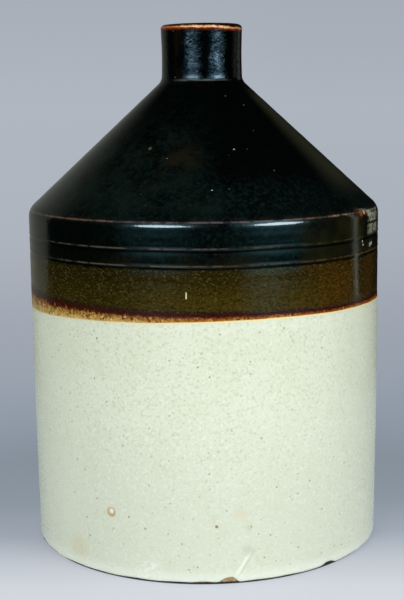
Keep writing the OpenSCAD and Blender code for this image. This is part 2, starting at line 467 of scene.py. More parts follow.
def srgb(r, g, b):
    """Linear colour of a display colour from 0 to 255."""
    part = [v / 255 / 12.92 if v <= 10 else ((v / 255 + 0.055) / 1.055) ** 2.4 for v in (r, g, b)]
    return (*part, 1)


class Paint:
    """A material and short calls that add nodes to it. Lengths are in metres, as on the object."""

    def __init__(self, name, world=None):
        self.block = world or bpy.data.materials.new(name)
        self.block.use_nodes = True
        self.tree = self.block.node_tree
        self.tree.nodes.clear()
        self.output = self.node("OutputWorld" if world else "OutputMaterial")
        self.at = self.node("TexCoord").outputs["Generated" if world else "Object"]
        self.x, self.y, self.z = self.split(self.at)
        self.aside = self.math("ABSOLUTE", self.x)
        self.out = self.math("SQRT", self.add(self.times(self.x, self.x), self.times(self.y, self.y)))

    def node(self, kind, inputs=(), **settings):
        """A new node with its settings, and its inputs set or linked by name or number."""
        node = self.tree.nodes.new("ShaderNode" + kind)
        for name, value in settings.items():
            setattr(node, name, value)
        for key, value in dict(inputs).items():
            self.put(node.inputs[key], value)
        return node

    def put(self, socket, value):
        """Link a socket to another one, or set its value."""
        if isinstance(value, bpy.types.NodeSocket):
            self.tree.links.new(value, socket)
        else:
            socket.default_value = value

    def split(self, vector):
        return self.node("SeparateXYZ", {0: vector}).outputs

    def math(self, kind, *values):
        return self.node("Math", enumerate(values), operation=kind).outputs[0]

    def add(self, total, *terms):
        for term in terms:
            total = self.math("ADD", total, term)
        return total

    def times(self, product, *factors):
        for factor in factors:
            product = self.math("MULTIPLY", product, factor)
        return product

    def minus(self, a, b):
        return self.math("SUBTRACT", a, b)

    def fit(self, value, low, high, to_low=0.0, to_high=1.0, smooth=True):
        """A range of a value carried over to another range, and held beyond its ends."""
        ends = {"Value": value, "From Min": low, "From Max": high, "To Min": to_low, "To Max": to_high}
        kind = "SMOOTHSTEP" if smooth else "LINEAR"
        return self.node("MapRange", ends, interpolation_type=kind).outputs[0]

    def line(self, value, middle, outer, inner):
        """1 where a value is within inner of its middle, and 0 beyond outer."""
        return self.fit(self.math("ABSOLUTE", self.minus(value, middle)), outer, inner)

    def noise(self, scale, detail=2.0, rough=0.5, stretch=None):
        """A noise: scale is cells per metre, and a stretch below 1 draws it out along its axis."""
        at = self.at
        if stretch:
            at = self.node("Mapping", {"Vector": at, "Scale": stretch}).outputs[0]
        values = {"Vector": at, "Scale": scale, "Detail": detail, "Roughness": rough}
        return self.node("TexNoise", values).outputs["Fac"]

    def wander(self, size, *noise):
        """A noise round zero, of this size from end to end."""
        return self.times(self.add(self.noise(*noise), -0.5), size)

    def uneven(self, scale, low, high):
        """A soft noise between two values, for the roughness."""
        return self.fit(self.noise(scale, 3), 0.3, 0.7, low, high)

    def dots(self, scale, size, share):
        """Small specks: scale is cells per metre, size a radius in cells, share how many cells have one."""
        node = self.node("TexVoronoi", {"Vector": self.at, "Scale": scale})
        pick = self.split(node.outputs["Color"])[0]
        near = self.fit(node.outputs["Distance"], size, size * 0.4)
        return self.times(near, self.fit(pick, share, share - 0.02))

    def spot(self, turn, z, size, r=FACE_R, soft=0.5):
        """1 at a place on the jug, up to a soft share of the size, and 0 beyond the size, in millimetres."""
        a = math.radians(turn)
        place = (r * math.sin(a) * MM, -r * math.cos(a) * MM, z * MM)
        node = self.node("VectorMath", {0: self.at, 1: place}, operation="DISTANCE")
        return self.fit(node.outputs["Value"], size * MM, size * MM * soft)

    def ring(self, outer, inner):
        """What an outer spot has and an inner one lacks."""
        return self.math("MAXIMUM", self.minus(outer, inner), 0)

    def ramp(self, value, *stops):
        """Colours along a value; a stop is its place and a display colour."""
        node = self.node("ValToRGB", {0: value})
        points = node.color_ramp.elements
        points[0].position, points[1].position = stops[0][0], stops[-1][0]
        for at, *_ in stops[1:-1]:
            points.new(at)
        for point, (_, *colour) in zip(points, stops):
            point.color = srgb(*colour)
        return node.outputs[0]

    def mix(self, share, a, b, kind="MIX"):
        return self.node("Mix", {0: share, 6: a, 7: b}, data_type="RGBA", blend_type=kind).outputs[2]

    def coat(self, under, colour, *shares):
        """A colour laid over another by the product of the shares."""
        return self.mix(self.times(*shares), under, colour)

    def bump(self, height, distance):
        return self.node("Bump", {"Height": height, "Distance": distance}).outputs[0]

    def link(self, shader, socket=None):
        """Lead a shader into a socket, or else to the material's output."""
        self.tree.links.new(shader.outputs[0], socket or self.output.inputs["Surface"])
        return self.block

    def finish(self, colour, rough, normal, tint=(1, 1, 1, 1)):
        values = {"Base Color": colour, "Roughness": rough, "Normal": normal, "Specular Tint": tint}
        return self.link(self.node("BsdfPrincipled", values))


# The gloss of the dark glaze is bluish
DARK_SHEEN = (0.5, 0.78, 1, 1)
SOFT_SHEEN = (0.8, 0.93, 1, 1)


def dark_colour(p):
    """The dark slip glaze: nearly black with a blue-green cast, mottled and finely pitted."""
    cloud = p.noise(50, 4, 0.65, (1, 1, 0.6))
    colour = p.ramp(cloud, (0.3, 1, 3, 3), (0.5, 3, 8, 7), (0.64, 8, 18, 15), (0.8, 14, 28, 23))
    # blue-green grain, clearest in the middle, finer olive grain, and grey pits
    grain = p.fit(p.noise(430, 3, 0.7), 0.48, 0.62)
    colour = p.coat(colour, srgb(12, 33, 32), grain, p.fit(p.aside, 0.065, 0.03, 0.12, 0.45))
    fine = p.fit(p.noise(620, 2, 0.7, (1, 1, 0.7)), 0.56, 0.7)
    colour = p.coat(colour, srgb(26, 34, 24), fine, 0.4)
    colour = p.coat(colour, srgb(48, 62, 58), p.dots(420, 0.14, 0.14), 0.6)
    # the band: brown below the ridges, black at the left and olive at the right
    brown = p.fit(p.noise(70, 3, 0.6, (1, 1, 0.5)), 0.35, 0.6)
    colour = p.coat(colour, srgb(26, 20, 6), brown, p.fit(p.z, 0.158, 0.148), 0.7)
    colour = p.coat(colour, srgb(1, 4, 1), p.fit(p.x, -0.03, -0.055, 0, 0.7), p.fit(p.z, 0.172, 0.168))
    olive = p.times(p.fit(p.x, 0.035, 0.06), p.fit(p.z, 0.171, 0.166))
    colour = p.coat(colour, srgb(30, 28, 8), olive, p.fit(p.noise(90, 3), 0.35, 0.6, 0.15, 0.75))
    # ever blacker from the cone to the lip
    colour = p.coat(colour, srgb(1, 1, 1), p.fit(p.z, 0.175, 0.225, 0, 0.8))
    return cone_marks(p, colour)


def cone_marks(p, colour):
    """The cone: black at the upper right, with a painted green-blue sheen on the left, paler at the far
    right, with specks.
    """
    colour = p.coat(colour, srgb(1, 1, 1), p.fit(p.x, -0.005, 0.012), p.fit(p.z, 0.18, 0.192), 0.8)
    broken = p.fit(p.noise(90, 4, 0.75), 0.36, 0.68)
    # painted reflection: a green-blue sheen from the lamps' gloss on the cone's left
    painted_left_sheen = p.times(p.fit(p.x, 0.012, -0.015), p.fit(p.z, 0.172, 0.176), p.fit(p.z, 0.222, 0.2))
    colour = p.coat(colour, srgb(21, 30, 23), painted_left_sheen, broken, 0.55)
    far_right = p.fit(p.math("DIVIDE", p.x, p.out), 0.76, 0.98)
    cast = p.times(far_right, p.fit(p.z, 0.174, 0.188), p.fit(p.out, 0.022, 0.032, 0, 0.9))
    colour = p.coat(colour, srgb(50, 51, 36), cast)
    # a brown cloud left of the middle
    colour = p.coat(colour, srgb(27, 20, 10), p.spot(-11, 197, 15, 59, soft=0.1), broken, 0.7)
    return p.coat(colour, srgb(120, 132, 122), p.dots(130, 0.055, 0.95), p.fit(p.z, 0.17, 0.172), 0.6)


def edge_glaze(p, up, low):
    """Where the dark glaze runs into the white: a cream line, amber with brown specks, dark red-brown."""
    inside = p.fit(low, 0.0005, 0.0011)
    left = p.fit(p.x, 0.005, -0.06)
    mottle = p.wander(1, 430, 3, 0.75, (1, 1, 0.9))
    up = p.add(up, p.times(mottle, inside, p.fit(left, 0, 1, 0.35, 1.3)))
    on_right = p.ramp(up, (0.0, 214, 150, 58), (0.2, 190, 124, 30), (0.36, 154, 90, 14),
                      (0.52, 120, 58, 7), (0.66, 78, 14, 1), (0.8, 50, 1, 0), (1.0, 38, 8, 1))
    on_left = p.ramp(up, (0.0, 206, 184, 124), (0.22, 190, 158, 86), (0.42, 172, 134, 60),
                     (0.58, 142, 92, 32), (0.67, 98, 34, 6), (0.77, 58, 2, 0), (0.86, 40, 20, 4))
    colour = p.mix(left, on_right, on_left)
    specks = p.times(p.fit(p.noise(800, 2, 0.7), 0.52, 0.59), p.fit(up, 0.05, 0.3))
    colour = p.coat(colour, srgb(62, 16, 3), specks, 0.9)
    flecks = p.times(p.fit(p.noise(840, 2, 0.6, (1.1, 1, 1.1)), 0.55, 0.62), p.fit(up, 0.8, 0.4), inside)
    colour = p.coat(colour, srgb(244, 206, 120), flecks, p.fit(left, 0, 1, 0.3, 0.8))
    cream = p.mix(left, srgb(255, 238, 178), srgb(240, 232, 186))
    at_edge = p.fit(low, p.fit(left, 0, 1, 0.001, 0.0009), p.fit(left, 0, 1, 0.0006, 0.0004))
    return p.coat(colour, cream, at_edge)


def olive_glaze(p, over):
    """The thin dark glaze below the ridges: olive, granular, with fine scratches."""
    colour = p.ramp(p.fit(over, 0, 0.0205, smooth=False), (0.0, 50, 3, 0), (0.035, 46, 20, 5),
                    (0.08, 62, 51, 11), (0.3, 60, 50, 9), (0.65, 46, 37, 6), (1.0, 34, 28, 5))
    # darker to both sides as painted shade, with amber and red clouds on the right and a greyish painted
    # sheen near the middle
    # painted shade: darker towards both sides
    dim = p.math("MAXIMUM", p.fit(p.x, -0.02, -0.045, 0, 0.42), p.fit(p.x, 0.045, 0.08, 0, 0.78))
    colour = p.coat(colour, srgb(14, 12, 2), dim)
    amber = p.fit(p.noise(60, 3, 0.6, (1, 1, 0.5)), 0.35, 0.6)
    colour = p.coat(colour, srgb(78, 50, 6), amber, p.fit(p.x, 0.028, 0.045), 0.45)
    red = p.fit(p.noise(300, 3, 0.6, (1, 1, 0.3)), 0.4, 0.65)
    colour = p.coat(colour, srgb(104, 58, 14), red, p.spot(45.7, 137, 9, 89.1, soft=0.2), 0.38)
    # painted sheen: a greyish streak near the middle
    colour = p.coat(colour, srgb(66, 68, 46), p.line(p.x, 0.027, 0.012, 0.003), 0.35)
    # dark grain and light grain
    colour = p.coat(colour, srgb(20, 15, 1), p.fit(p.noise(520, 3, 0.75, (1, 1, 2.0)), 0.46, 0.64), 0.72)
    colour = p.coat(colour, srgb(102, 92, 46), p.fit(p.noise(600, 3, 0.75, (1.2, 1, 2.1)), 0.52, 0.7), 0.6)
    # fine slanting scratches on the left
    slant = p.times(p.add(p.times(p.x, 0.8), p.z), 1500)
    scratch = p.line(p.math("SINE", p.add(slant, p.times(p.noise(80, 2), 9))), 0, 0.12, 0.02)
    where = p.times(p.fit(p.x, -0.028, -0.04), p.fit(p.noise(120, 2, 0.5), 0.5, 0.62))
    return p.coat(colour, srgb(104, 100, 66), scratch, where, 0.6)


def white_glaze(p, grain):
    """The white: soft clouding, fine grain, specks and small pits, and its marks."""
    white = p.ramp(p.noise(38, 3, 0.55), (0.25, 230, 238, 213), (0.5, 234, 243, 219), (0.8, 239, 246, 225))
    # greyer towards the foot, with dark grain, light grain and warm stains
    low = p.times(p.fit(p.z, 0.1, 0.01, 0, 0.7), p.fit(p.aside, 0.086, 0.05, 0.1, 1.0))
    white = p.coat(white, srgb(212, 220, 202), low)
    white = p.coat(white, srgb(210, 218, 191), p.fit(grain, 0.47, 0.62, 0, 0.8))
    light = p.fit(p.noise(640, 3, 0.75), 0.5, 0.64)
    white = p.coat(white, srgb(246, 250, 236), light, p.fit(p.z, 0.02, 0.09, 0.3, 0.7))
    warm = p.fit(p.noise(110, 4, 0.7), 0.6, 0.75)
    white = p.coat(white, srgb(226, 214, 176), warm, p.fit(p.z, 0.075, 0.01, 0.3, 1.0), 0.4)
    # specks, from pale and close to dark and rare
    white = p.coat(white, srgb(178, 182, 156), p.dots(260, 0.17, 0.6), 0.55)
    white = p.coat(white, srgb(150, 142, 116), p.dots(170, 0.11, 0.6), 0.75)
    white = p.coat(white, srgb(88, 86, 72), p.dots(90, 0.05, 0.5), 0.85)
    white = fold_marks(p, wall_marks(p, white))
    # a painted highlight: lighter just above the foot
    return p.coat(white, srgb(243, 249, 236), p.fit(p.z, 0.008, 0.003, 0, 0.5))


RUST = srgb(124, 92, 56)
GREY = srgb(110, 112, 98)
# Single specks on the white: turn from the front, height and size, and colour
SPECKS = (
    (2.9, 28.6, 0.95, RUST), (3.2, 28.2, 0.5, GREY), (15.7, 23.7, 0.45, GREY), (21.4, 9.5, 0.4, GREY),
    (-34.3, 115, 0.7, RUST), (-45.7, 26, 0.5, GREY), (-40.4, 23.3, 0.5, GREY), (-33.9, 27.3, 0.45, GREY),
    (-39.5, 17.7, 0.85, RUST), (-24.4, 31, 0.65, RUST), (-21.5, 24.5, 0.4, GREY), (53.8, 13, 0.5, GREY),
    (46.4, 24.7, 0.55, GREY), (-11.8, 24.6, 0.5, GREY), (-8.6, 14.2, 0.55, GREY), (-5.4, 13.5, 0.5, RUST),
    (-5.6, 7.5, 0.7, RUST), (-5.2, 6.2, 0.6, RUST), (-40.6, 26.5, 0.6, RUST), (13.4, 27.6, 0.5, RUST),
)


def wall_marks(p, white):
    """Stains, single specks and the pock, low on the white wall."""
    white = p.coat(white, srgb(214, 204, 158), p.spot(-44.6, 10, 11, soft=0.1), 0.45)
    white = p.coat(white, srgb(230, 212, 178), p.spot(10.3, 34, 5, soft=0.1), 0.4)
    # a paler, patchy place low on the left
    pale_patch = p.fit(p.noise(260, 3, 0.75, (1, 1, 1.6)), 0.46, 0.6)
    white = p.coat(white, srgb(252, 254, 246), pale_patch, p.spot(-17.5, 6.5, 9, soft=0.1), 0.6)
    for turn, z, size, tone in SPECKS:
        white = p.coat(white, tone, p.spot(turn, z, size), 0.8)
    # the pock: a tan halo, a brown ring and a light middle
    white = p.coat(white, srgb(228, 208, 164), p.spot(POCK_TURN, POCK_Z, 4.4, soft=0.3), 0.7)
    pock_ring = p.ring(p.spot(POCK_TURN, POCK_Z - 0.1, 2.6, soft=0.75),
                       p.spot(POCK_TURN, POCK_Z + 0.3, 1.7, soft=0.7))
    white = p.coat(white, srgb(150, 128, 88), pock_ring, 0.6)
    white = p.coat(white, srgb(250, 250, 236), p.spot(POCK_TURN + 0.2, POCK_Z + 0.6, 1.4), 0.8)
    # a faint ring to the right of the middle
    faint = p.ring(p.spot(13, 27.1, 1.3, soft=0.6), p.spot(13, 27.1, 0.7, soft=0.6))
    return p.coat(white, srgb(190, 160, 110), faint, 0.4)


def fold_marks(p, white):
    """The fold: a painted highlight along its crest, which leans to the right, with a painted shadow beside
    it.
    """
    middle = p.add(p.times(p.z, 0.62), 0.0108)
    # painted highlight along the fold's crest
    crest = p.times(p.line(p.x, middle, 0.0016, 0.0004), p.fit(p.z, 0.003, 0.006), p.fit(p.z, 0.0165, 0.013))
    white = p.coat(white, srgb(248, 252, 238), crest, p.fit(p.y, 0, -0.01), 0.6)
    # painted shadow: a duller grey place beside the fold
    return p.coat(white, srgb(190, 192, 166), p.spot(12.4, 16.5, 4.2, soft=0.1), 0.42)


def black_band(p, soft):
    """The black: brown on the crests of the ridges, partly thin glaze and partly a painted highlight, with
    painted shade under each ridge, and a line along the shoulder's edge.
    """
    black = dark_colour(p)
    patchy = p.fit(p.noise(150, 3, 0.65, (1, 1, 0.2)), 0.35, 0.65)
    brown = p.mix(p.fit(p.x, -0.01, 0.04), srgb(86, 82, 72), srgb(84, 68, 38))
    for middle, right_share in ((RIDGE_HIGH_Z, 0.5), (RIDGE_LOW_Z, 1)):
        # the ridges' crest lines: partly thin glaze, partly a painted highlight
        crest = p.times(p.line(p.z, middle * MM, 0.0005, 0.0001), p.fit(patchy, 0, 1, 0.12, 0.85))
        crest = p.times(crest, p.fit(p.x, -0.082, -0.06), p.fit(p.x, 0.01, 0.05, 1, right_share))
        black = p.coat(black, brown, crest)
        # painted shade: a black line under each ridge
        black = p.coat(black, srgb(1, 1, 1), p.line(p.z, (middle - 1.4) * MM, 0.0008, 0.0002), 0.9)
    sides = p.fit(p.aside, 0.02, 0.05, 0.7, 1.0)
    # the shoulder's edge line: partly worn glaze, partly a painted highlight
    rim = p.line(p.add(p.z, p.times(soft, 0.4)), RIM_Z * MM, 0.0006, 0.0001)
    worn = p.mix(p.fit(p.aside, 0.03, 0.055), srgb(112, 110, 118), srgb(104, 92, 80))
    black = p.coat(black, worn, rim, sides, p.fit(patchy, 0, 1, 0.15, 0.95))
    dim = p.line(p.z, (RIM_Z + 0.2) * MM, 0.0022, 0.0004)
    return p.coat(black, srgb(44, 24, 12), dim, sides, patchy, 0.4)


# Small pale chips in the dark glaze: turn from the front, height, size, and radius of the place
PALE_CHIPS = ((58.6, 155.6, 0.8, 89.2), (59, 153.9, 0.8, 89.2), (65, 153, 1.5, 89.3),
              (66.5, 153.4, 1.3, 89.3), (15.3, 200.4, 0.55, 55.5), (3.1, 183, 0.5, 74.4))


def band_wear(p, colour, soft):
    """Wear and pale marks of the dark glaze, most of them on the shoulder and the band at the far right."""
    # a beaded line along the shoulder's edge, and the brown chip that ends it
    where = p.times(p.fit(p.x, 0.054, 0.06), p.fit(p.x, 0.0725, 0.07))
    beads = p.times(p.fit(p.noise(900, 2, 0.7), 0.54, 0.58), p.line(p.z, (RIM_Z + 0.1) * MM, 0.0005, 0.0002))
    colour = p.coat(colour, srgb(176, 142, 122), beads, where, 0.7)
    colour = p.coat(colour, srgb(84, 52, 22), p.spot(56.5, 169.4, 5, 88.4, soft=0.2), 0.35)
    colour = p.coat(colour, srgb(146, 94, 46), p.spot(58.2, 169.1, 2.3, soft=0.3), 0.6)
    colour = p.coat(colour, srgb(222, 152, 96), p.spot(60.4, 169.3, 1.4), 0.9)
    # two pale, mottled places, one above the other
    across = p.times(p.fit(p.add(p.x, p.times(soft, 0.8)), 0.0788, 0.08), p.fit(p.x, 0.0862, 0.0852))
    height = p.add(p.z, p.times(soft, 1.5))
    upper = p.line(height, 0.1672, 0.0032, 0.0024)
    lower = p.line(height, 0.1609, 0.0027, 0.002)
    pitted = p.times(p.fit(p.noise(560, 3, 0.75), 0.4, 0.55), p.fit(p.y, 0.0, -0.012))
    colour = p.coat(colour, srgb(160, 160, 138), across, p.math("MAXIMUM", upper, lower), pitted, 0.9)
    for turn, z, size, r in PALE_CHIPS:
        colour = p.coat(colour, srgb(176, 182, 172), p.spot(turn, z, size, r), 0.9)
    colour = p.coat(colour, srgb(104, 76, 50), p.spot(-27, 201, 1.3, 54.7, soft=0.3), 0.8)
    # a short upright dash near the middle of the olive
    dash = p.times(p.line(p.x, -0.00815, 0.0004, 0.00018), p.line(p.z, 0.1369, 0.0018, 0.0012))
    return p.coat(colour, srgb(236, 222, 168), dash, p.fit(p.y, 0, -0.01), 0.9)


def tilted(p, edge):
    """Height of a glaze edge, in metres, wherever on the jug."""
    height, front_tilt, side_tilt = edge
    return p.add(height * MM, p.times(p.y, -tangent(front_tilt)), p.times(p.x, tangent(side_tilt)))


def body_glaze(name, tint=(1, 1, 1, 1)):
    """The glazes of the body by height: white, the ochre and red-brown edge, olive, and black above."""
    p = Paint(name)
    soft = p.wander(0.0012, 30, 2, 0.5, (1, 1, 0.1))
    white_z = p.add(tilted(p, WHITE_EDGE), soft)
    dark_z = p.add(tilted(p, DARK_EDGE), soft, p.wander(0.0009, 420, 2, 0.6, (1, 1, 0.15)))
    low = p.minus(p.z, white_z)
    over = p.minus(p.z, dark_z)
    up = p.math("DIVIDE", low, p.minus(dark_z, white_z))
    # the olive ends raggedly under the lower ridge
    olive_top = p.add((RIDGE_LOW_Z - 1.6) * MM, p.wander(0.0022, 160, 3, 0.6, (1, 1, 0.3)))
    is_black = p.fit(p.minus(p.z, olive_top), -0.0007, 0.0004)
    glaze = p.mix(is_black, olive_glaze(p, over), black_band(p, soft))
    glaze = p.mix(p.fit(over, -0.0002, 0.0004), edge_glaze(p, up, low), glaze)
    grain = p.noise(700, 3, 0.7)
    colour = p.mix(p.fit(low, -0.0001, 0.0002), white_glaze(p, grain), glaze)
    colour = band_wear(p, colour, soft)

    is_dark = p.fit(over, 0.0, 0.004)
    lumps = p.add(p.times(p.noise(330, 2, 0.5), 0.7), p.times(p.noise(70, 2, 0.5), 1.1))
    peel = p.add(lumps, p.times(p.noise(900, 3, 0.6), p.fit(is_dark, 0, 1, 0.1, 0.42)))
    rough = p.mix(is_dark, p.fit(grain, 0.3, 0.8, 0.24, 0.36), p.uneven(90, 0.1, 0.16))
    return p.finish(colour, rough, p.bump(peel, 0.00006), tint)


def worn_lip(p, z, top):
    """The lip: orange-brown where the glaze has worn off, with upright streaks; its bright band and thin pale
    line are partly a painted highlight, and its dark top is painted shade.
    """
    # the bright middle of this ramp is partly worn orange glaze and partly a painted highlight, and its dark
    # top painted shade
    lip = p.ramp(p.fit(z, top - 0.0038, top, smooth=False), (0.0, 20, 2, 1), (0.15, 60, 16, 8),
                 (0.3, 112, 50, 22), (0.43, 158, 88, 44), (0.5, 248, 178, 118), (0.57, 120, 56, 22),
                 (0.64, 34, 6, 1), (1.0, 34, 12, 4))
    lip = p.coat(lip, srgb(84, 26, 10), p.fit(p.noise(260, 3, 0.7, (1, 1, 0.08)), 0.52, 0.66, 0, 0.6))
    # painted highlight: a thin pale line along the lip
    pale = p.times(p.fit(p.noise(240, 3, 0.7, (1.2, 1, 0.08)), 0.38, 0.6, 0.25, 1),
                   p.line(z, top - 0.0018, 0.0008, 0.0002))
    pale = p.times(pale, p.fit(p.x, -0.013, -0.006, 0.15, 1), p.fit(p.x, 0.016, 0.011, 0.2, 1))
    lip = p.coat(lip, srgb(255, 210, 154), pale, 0.9)
    left = p.times(p.fit(p.x, -0.008, -0.018), p.fit(z, top - 0.0032, top - 0.0022))
    return p.coat(lip, srgb(130, 44, 8), left, p.fit(z, top - 0.0006, top - 0.0014), 0.6)


def neck_glaze(name):
    """The dark glaze of the neck, worn to orange-brown round the lip."""
    p = Paint(name)
    top = TOP_Z * MM
    z = p.add(p.z, p.wander(0.0013, 260, 3, 0.65, (1, 1, 0.25)), p.times(p.x, 0.026))
    colour = p.mix(p.fit(z, top - 0.0039, top - 0.0036), dark_colour(p), worn_lip(p, z, top))
    # a faint brown streak on the left, pale bluish mottles painted as reflection in the gloss streaks, and a
    # painted highlight round the foot
    brown = p.times(p.line(p.x, -0.0118, 0.003, 0.0005), p.fit(p.y, 0, -0.01))
    colour = p.coat(colour, srgb(60, 46, 36), brown, p.fit(p.noise(300, 3, 0.6, (1, 1, 0.2)), 0.4, 0.6), 0.1)
    # painted reflection: pale bluish mottles in the two gloss streaks
    reflection_mottle = p.fit(p.noise(620, 3, 0.8, (1, 1, 1.8)), 0.47, 0.6)
    for turn, height, size in ((-17.5, 251.2, 3.2), (22, 254, 2.6), (19, 243, 4)):
        where = p.spot(turn, height, size, NECK_R, soft=0.2)
        colour = p.coat(colour, srgb(120, 144, 164), where, reflection_mottle, 0.5)
    # painted highlight on the fillet round the neck's foot
    fillet_highlight = p.times(p.line(p.z, (NECK_Z + 0.1) * MM, 0.0007, 0.0002), p.fit(p.aside, 0.016, 0.006))
    colour = p.coat(colour, srgb(84, 94, 88), fillet_highlight, p.fit(p.noise(200, 3, 0.6), 0.4, 0.6, 0.3, 0.8))
    in_bore = p.times(p.fit(p.out, 0.0165, 0.0145), p.fit(p.z, top - 0.008, top - 0.006))
    colour = p.coat(colour, srgb(34, 22, 13), in_bore)
    peel = p.add(p.times(p.noise(520, 3, 0.75, (1, 1, 1.7)), 1.1),
                 p.times(p.noise(1150, 2, 0.6, (1, 1, 1.5)), 0.4),
                 p.times(p.noise(110, 3, 0.6, (1, 1, 0.7)), 0.4))
    # the gloss is scratched and dull on the collar's wall and clear at its foot
    dull = p.times(p.fit(p.noise(330, 3, 0.75, (1, 1, 1.6)), 0.6, 0.42), p.fit(p.z, 0.2335, 0.237, 0, 0.95))
    dull = p.math("MAXIMUM", dull, p.fit(z, top - 0.006, top - 0.003, 0, 0.9))
    tint = p.mix(p.fit(p.z, 0.2345, 0.232), DARK_SHEEN, (1, 1, 1, 1))
    tint = p.mix(dull, tint, (0.07, 0.14, 0.2, 1))
    return p.finish(colour, p.uneven(120, 0.05, 0.1), p.bump(peel, 0.00015), tint)


def handle_glaze(name):
    """The dark glaze of the handle, thin and brown along its edges."""
    p = Paint(name)
    thin = p.times(p.fit(p.aside, 0.0118, 0.0142), p.fit(p.noise(240, 3, 0.65), 0.4, 0.62))
    colour = p.coat(dark_colour(p), srgb(92, 48, 20), thin, 0.75)
    colour = p.coat(colour, srgb(48, 38, 16), p.fit(p.noise(60, 4, 0.6), 0.62, 0.72), 0.35)
    peel = p.add(p.times(p.noise(330, 2, 0.5), 0.8), p.noise(90, 2, 0.5))
    return p.finish(colour, p.uneven(120, 0.14, 0.24), p.bump(peel, 0.00008), DARK_SHEEN)


def clay_grain(p):
    """Height of the bare clay's grain."""
    return p.add(p.noise(900, 4, 0.7), p.times(p.noise(160, 2), 0.6))


def clay(name):
    """Fired stoneware: buff, grainy, with iron specks, and painted shade that makes it nearly black at the
    foot that it stands on.
    """
    p = Paint(name)
    colour = p.ramp(p.noise(90, 4, 0.65), (0.3, 150, 116, 78), (0.55, 178, 146, 104), (0.8, 204, 180, 140))
    colour = p.coat(colour, srgb(96, 62, 34), p.fit(p.noise(1000, 3, 0.75), 0.46, 0.62))
    colour = p.coat(colour, srgb(54, 34, 22), p.dots(500, 0.16, 0.3), 0.8)
    # painted shade: the bare foot darkened where it meets the floor
    colour = p.coat(colour, srgb(6, 10, 12), p.fit(p.z, 0.0018, 0.0012, 0, 0.97))
    # the notch at the right is painted dark as shade
    colour = p.coat(colour, srgb(6, 10, 10), p.spot(SHADED_NOTCH_TURN, 0.8, 4.5, 88.4, 0.4), 0.97)
    return p.finish(colour, p.uneven(200, 0.72, 0.9), p.bump(clay_grain(p), 0.00025))


def neck_clay(name):
    """The collar's clay, covered with thin brown slip in the bore."""
    p = Paint(name)
    colour = p.ramp(p.noise(140, 4, 0.65), (0.3, 40, 28, 18), (0.55, 66, 46, 28), (0.8, 104, 78, 50))
    colour = p.coat(colour, srgb(132, 104, 70), p.fit(p.noise(1300, 3, 0.7), 0.55, 0.75))
    return p.finish(colour, p.uneven(200, 0.5, 0.7), p.bump(clay_grain(p), 0.0002))


def slip(name, low, high):
    """Brown slip between two display colours, thin over the throwing rings."""
    p = Paint(name)
    rings = p.math("SINE", p.add(p.times(p.z, 1300), p.times(p.noise(25, 2), 6)))
    colour = p.ramp(p.noise(60, 4, 0.6), (0.3, *low), (0.7, *high))
    colour = p.coat(colour, srgb(96, 62, 32), p.fit(rings, 0.2, 1, 0, 0.35))
    colour = p.coat(colour, srgb(24, 14, 8), p.dots(300, 0.15, 0.3), 0.6)
    height = p.add(p.times(rings, 0.5), p.noise(300, 3, 0.6))
    return p.finish(colour, p.uneven(110, 0.18, 0.3), p.bump(height, 0.00015))


# Pieces in their places

def cover(piece, material):
    """A piece with this material and no other."""
    piece.data.materials.clear()
    piece.data.materials.append(material)


def place(piece, material, slot, stands_for):
    """A piece of the looks rides with the jug in place of a CAD node."""
    cover(piece, material)
    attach(piece, "root")
    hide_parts(stands_for)


bare = clay("stoneware")
inside = slip("brown_slip", (50, 30, 16), (84, 52, 28))
place(white_skin, body_glaze("white_and_edge_glaze"), "white_glaze", "white_glaze")
place(line_skin, body_glaze("ochre_edge_glaze"), "ochre_glaze", "glaze_line")
place(shoulder_skin, body_glaze("dark_shoulder_glaze", SOFT_SHEEN), "dark_glaze", "shoulder_glaze")
place(neck, neck_glaze("dark_neck_glaze"), "dark_glaze", "neck_glaze")
place(handle, handle_glaze("dark_handle_glaze"), "dark_glaze", "handle_glaze")
place(top_fillet, handle_glaze("dark_top_fillet_glaze"), "dark_glaze", "handle_top_pad")
place(foot_fillet, handle_glaze("dark_foot_fillet_glaze"), "dark_glaze", "handle_foot_pad")
for name in ("jug_body", "shoulder_cone", "strap_handle"):
    cover(nodes[name], bare)
for name in ("body_liner", "cone_liner"):
    cover(nodes[name], inside)
cover(nodes["seam_slip"], slip("joint_slip", (120, 92, 60), (150, 120, 84)))
cover(nodes["neck_collar"], neck_clay("collar_clay"))


# Floor and backdrop: a round sweep

FLOOR_R = 0.3
COVE_START = 1.3
COVE_ROUND = 0.6
COVE_TOP = 2.2
# Turns of the two lamps from the front, in degrees
LEFT_LAMP = -27
RIGHT_LAMP = 48


def sweep(name, profile, material):
    """A surface turned from a profile of (radius, height), facing up and in."""
    cols = 96
    turns = np.arange(cols) * 2 * np.pi / cols
    verts, faces = [], []
    for r, z in profile:
        verts += [(r * math.sin(a), -r * math.cos(a), z) for a in turns]
    for k in range(len(profile) - 1):
        for j in range(cols):
            a, b = k * cols + j, k * cols + (j + 1) % cols
            faces.append((a, a + cols, b + cols, b))
    mesh = bpy.data.meshes.new(name)
    mesh.from_pydata(verts, [], faces)
    mesh.polygons.foreach_set("use_smooth", np.ones(len(faces), bool))
    mesh.materials.append(material)
    piece = bpy.data.objects.new(name, mesh)
    bpy.context.scene.collection.objects.link(piece)
    return piece


def glimmer(p, turn, lift, middle, half, soft, low, rise, high, fall):
    """A soft-edged patch of light round the jug: its middle and half its width, and its ends, in degrees."""
    across = p.line(turn, middle, half + soft, half - soft)
    return p.times(across, p.fit(lift, low, low + rise), p.fit(lift, high + fall, high))


